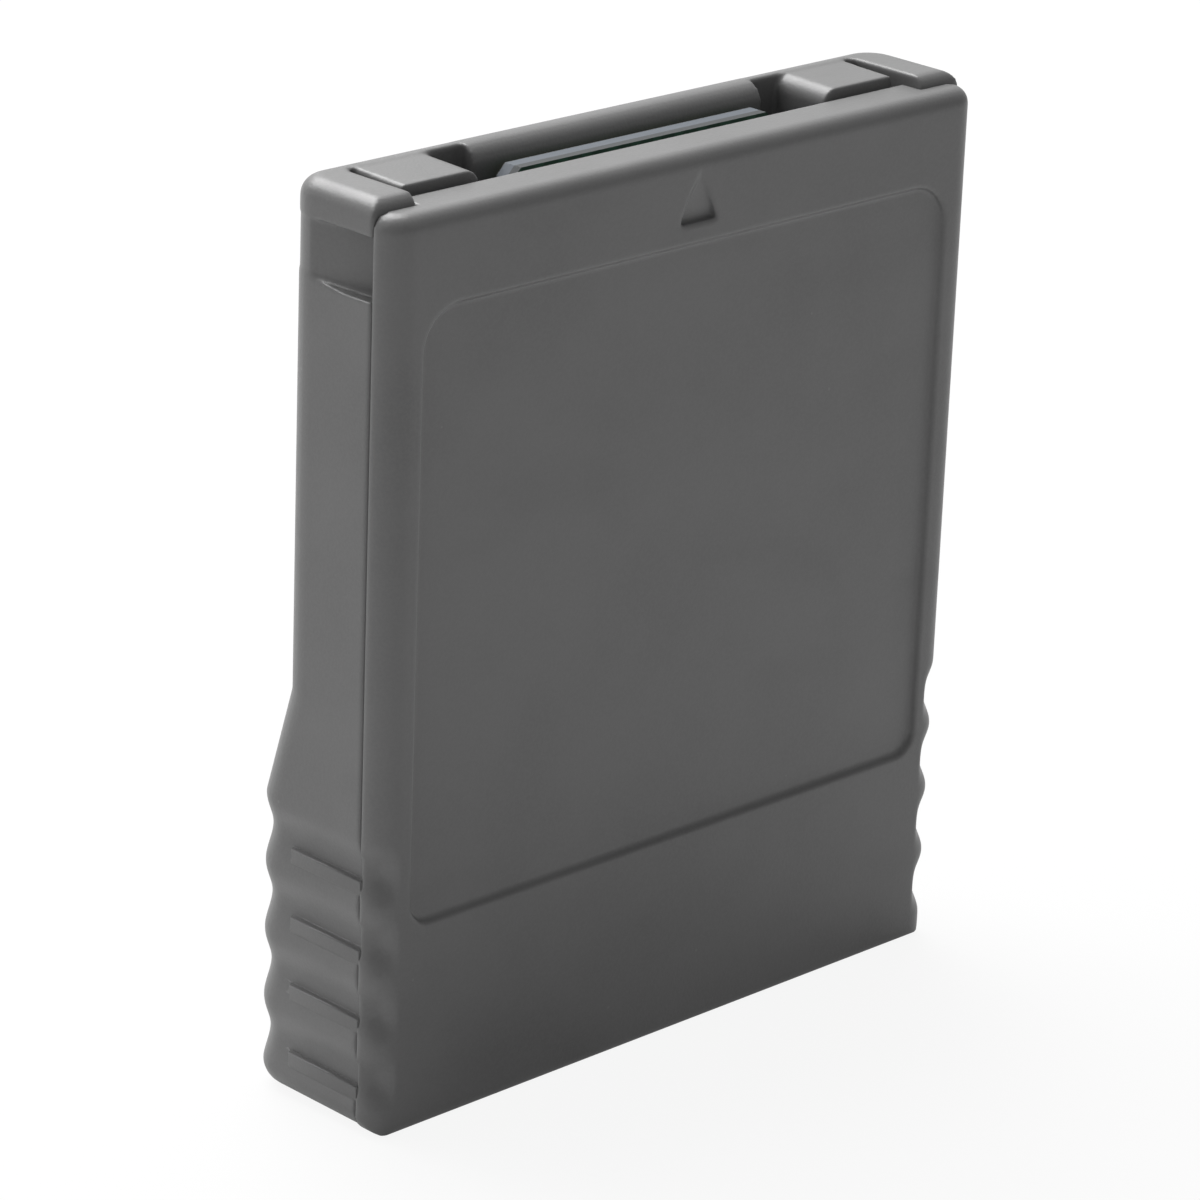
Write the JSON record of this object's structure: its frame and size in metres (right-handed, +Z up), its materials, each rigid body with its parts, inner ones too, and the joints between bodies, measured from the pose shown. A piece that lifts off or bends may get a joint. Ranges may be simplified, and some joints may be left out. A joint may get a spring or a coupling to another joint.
{
  "type": "memory card adapter",
  "caption": "Flat two-shell adapter with a board edge connector at the top and a card slot in its swollen, grooved grip end.",
  "frame": {"origin": "centre of the bounding box's bottom face, where the flat grip end rests", "axes": "+Z up from the grip end to the connector mouth, -Y out of the front cover's label face, +X to the right seen from the front"},
  "size_m": [0.042, 0.01, 0.05],
  "materials": {
    "grey_plastic": "fine matte texture",
    "board_laminate": "solder-masked laminate",
    "gold_plate": "bright plate",
    "black_plastic": "satin",
    "shield_steel": "satin",
    "spring_bronze": "satin",
    "resistor_ceramic": "satin",
    "capacitor_ceramic": "satin",
    "tinned_metal": "satin"
  },
  "bodies": {
    "root": {"front_cover": "grey_plastic", "rear_cover": "grey_plastic", "circuit_board": "board_laminate", "edge_fingers": "gold_plate", "socket_base": "black_plastic", "socket_shield": "shield_steel", "signal_contacts": "spring_bronze", "detect_spring": "spring_bronze", "detect_post": "spring_bronze", "protect_spring": "spring_bronze", "protect_post": "spring_bronze", "resistor_bodies": "resistor_ceramic", "resistor_ends": "tinned_metal", "capacitor_bodies": "capacitor_ceramic", "capacitor_ends": "tinned_metal", "contact_solder": "tinned_metal", "shield_solder": "tinned_metal"}
  },
  "joints": []
}
